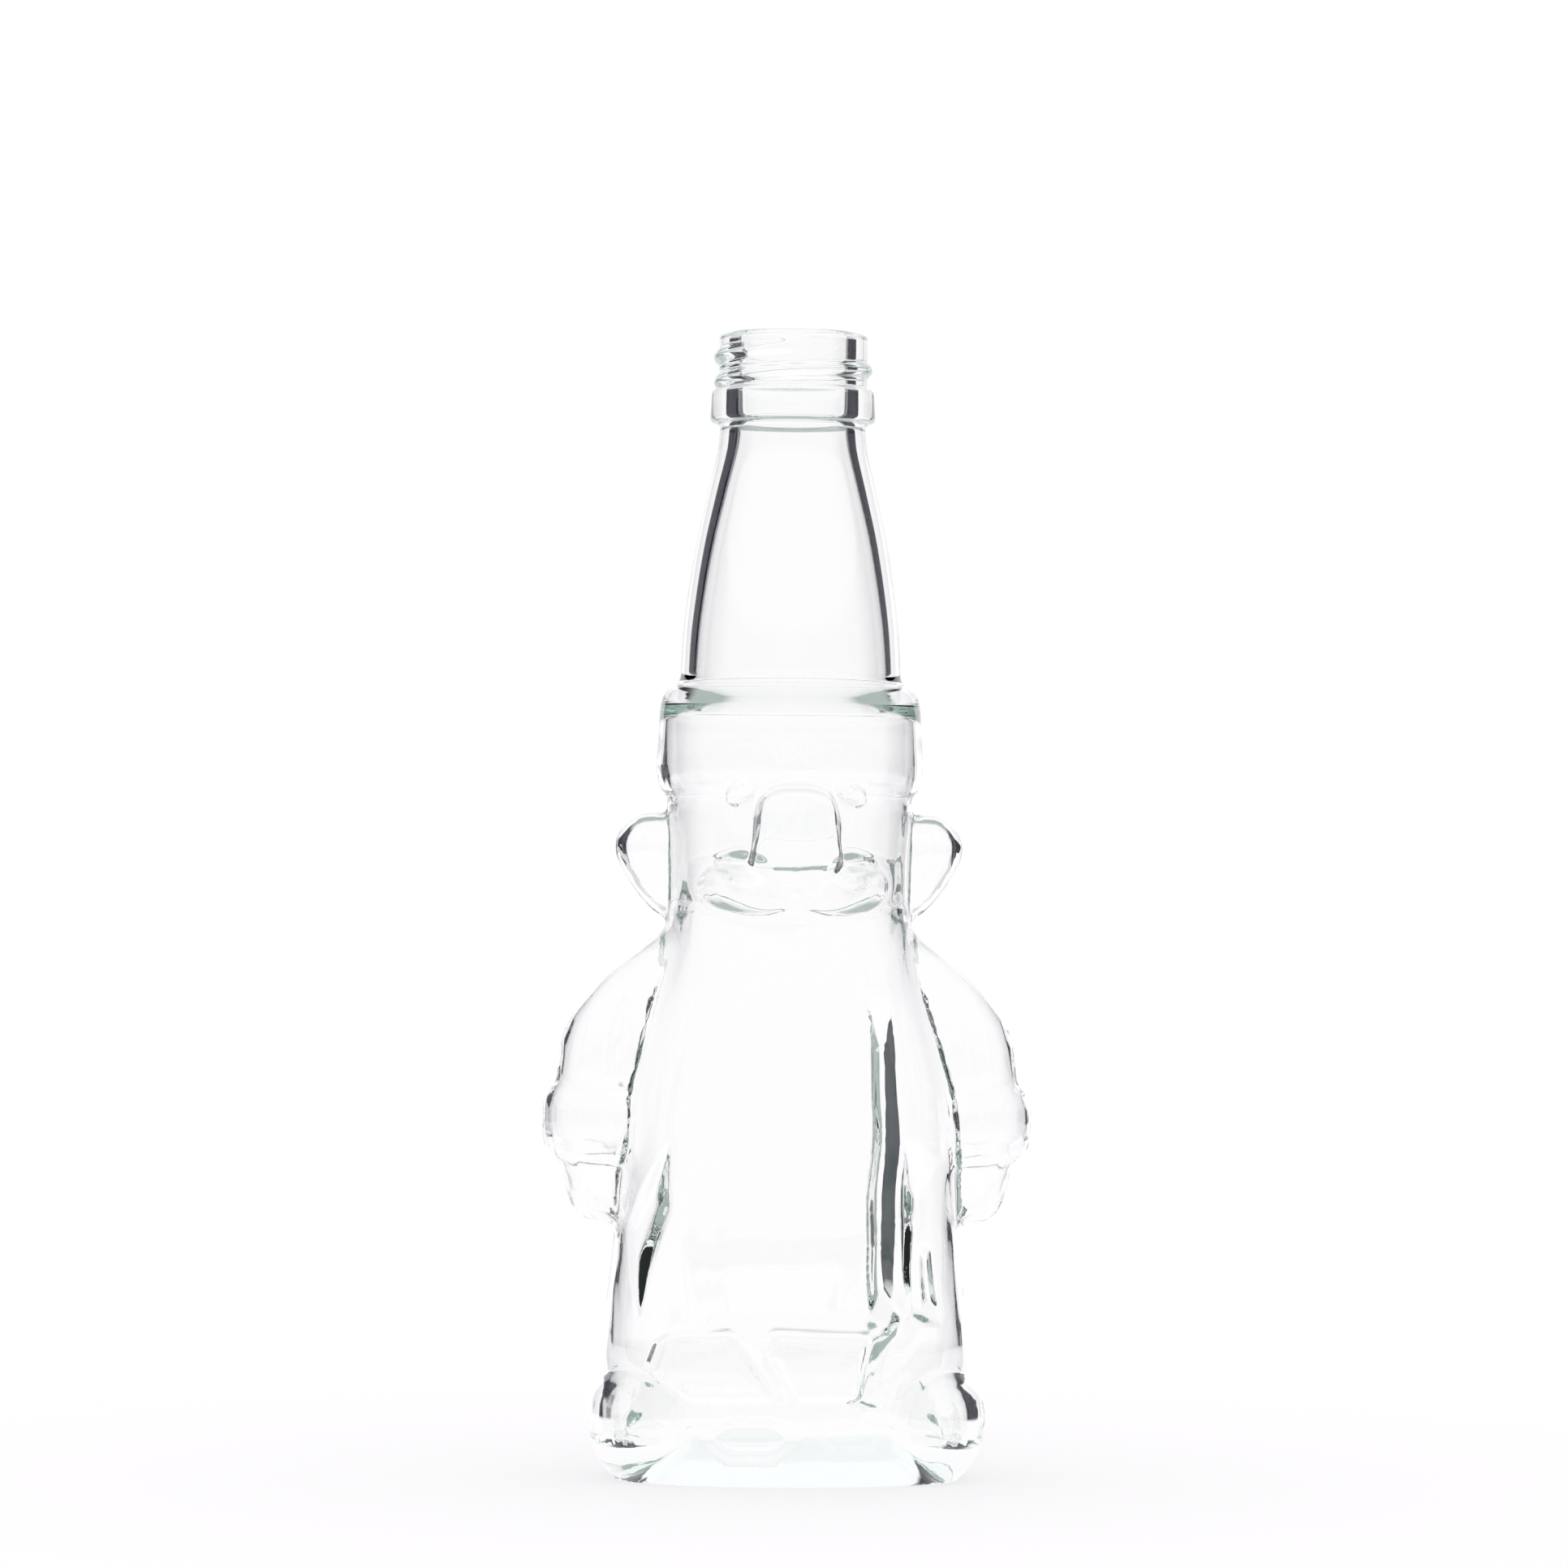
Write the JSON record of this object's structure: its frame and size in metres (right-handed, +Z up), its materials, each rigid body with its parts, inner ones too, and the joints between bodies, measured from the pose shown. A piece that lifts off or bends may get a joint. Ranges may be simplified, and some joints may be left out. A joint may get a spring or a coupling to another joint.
{
  "type": "elf-shaped glass bottle",
  "caption": "Clear glass bottle blown in the shape of a bearded elf in a tall hat, with a threaded screw-cap finish as the hat's top; stands on its flat base and holds a liquid.",
  "frame": {"origin": "on the standing plane, under the axis of the neck", "axes": "+Z up along the axis of the neck, -Y out of the figure's face, +X towards the viewer's right"},
  "size_m": [0.0842, 0.0537, 0.195],
  "materials": {
    "glass": "clear soda-lime glass, fire-polished gloss, faint green in the thick places"
  },
  "bodies": {
    "root": {"boots_and_base": "glass", "coat_and_arms": "glass", "head": "glass", "hat_brim": "glass", "hat": "glass", "screw_finish": "glass"}
  },
  "joints": []
}
